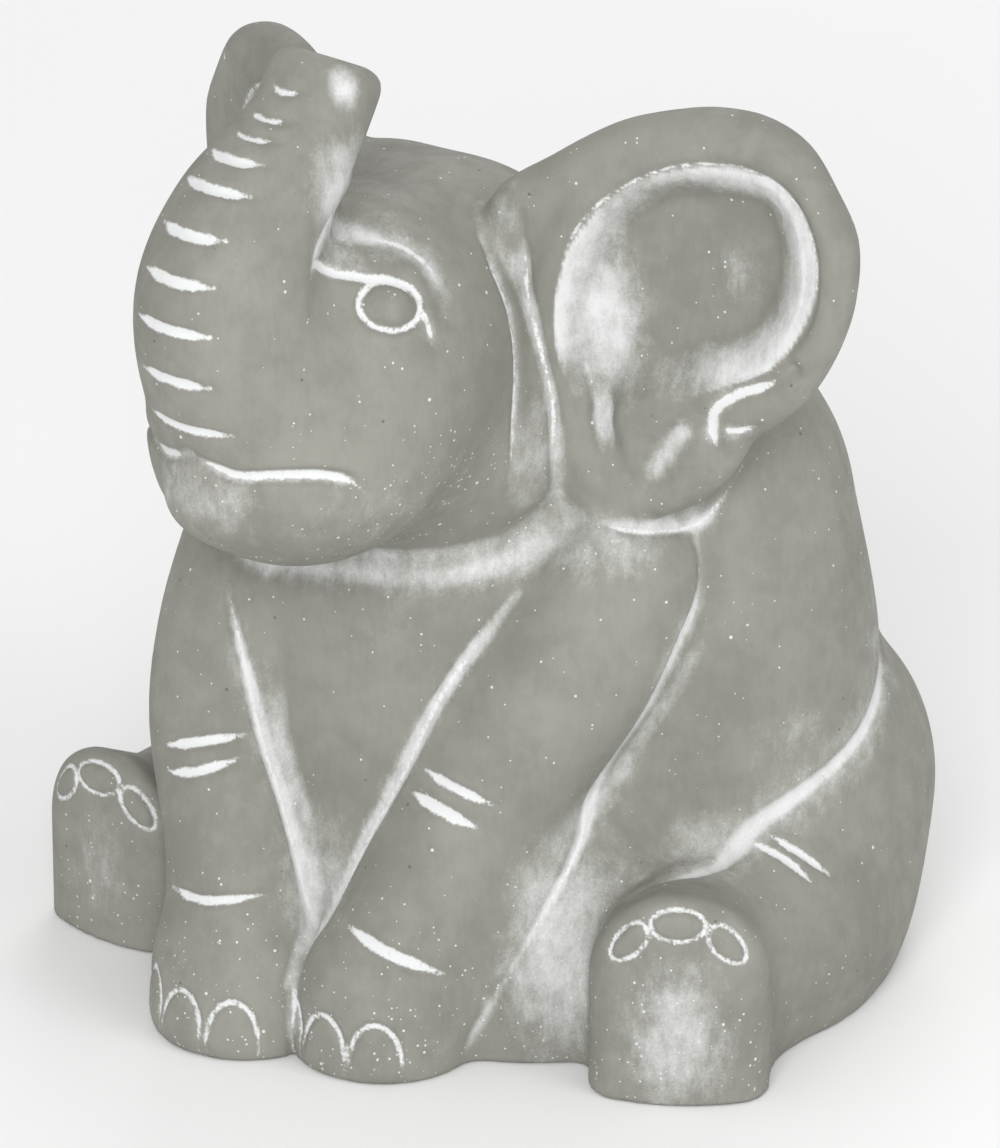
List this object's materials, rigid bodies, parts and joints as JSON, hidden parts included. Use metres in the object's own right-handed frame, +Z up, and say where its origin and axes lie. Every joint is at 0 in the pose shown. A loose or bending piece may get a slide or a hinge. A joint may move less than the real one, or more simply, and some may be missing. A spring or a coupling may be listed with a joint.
{
  "type": "animal coin bank",
  "caption": "Hollow fired-clay money box shaped as a sitting baby elephant, with a coin slot behind the head and a soft stopper in the recessed floor.",
  "frame": {"origin": "middle of the figure's box, on the table under it", "axes": "+Z up; the elephant looks along -Y and its left side is towards +X"},
  "size_m": [0.1446, 0.144, 0.1776],
  "materials": {
    "clay": "matte grey fired clay with rubbed whitewash",
    "rubber": "satin moulded rubber"
  },
  "bodies": {
    "clay_shell": {"torso_shell": "clay", "head_shell": "clay", "trunk": "clay", "ear_left": "clay", "ear_right": "clay", "foreleg_left": "clay", "foreleg_right": "clay", "hind_leg_left": "clay", "hind_leg_right": "clay", "tail": "clay", "base_floor": "clay"},
    "stopper": {"stopper": "rubber"}
  },
  "joints": [
    {"name": "stopper_pull", "type": "slide", "parent": "clay_shell", "child": "stopper", "axis": [0, 0, -1], "range_m": [0, 0.016]}
  ]
}
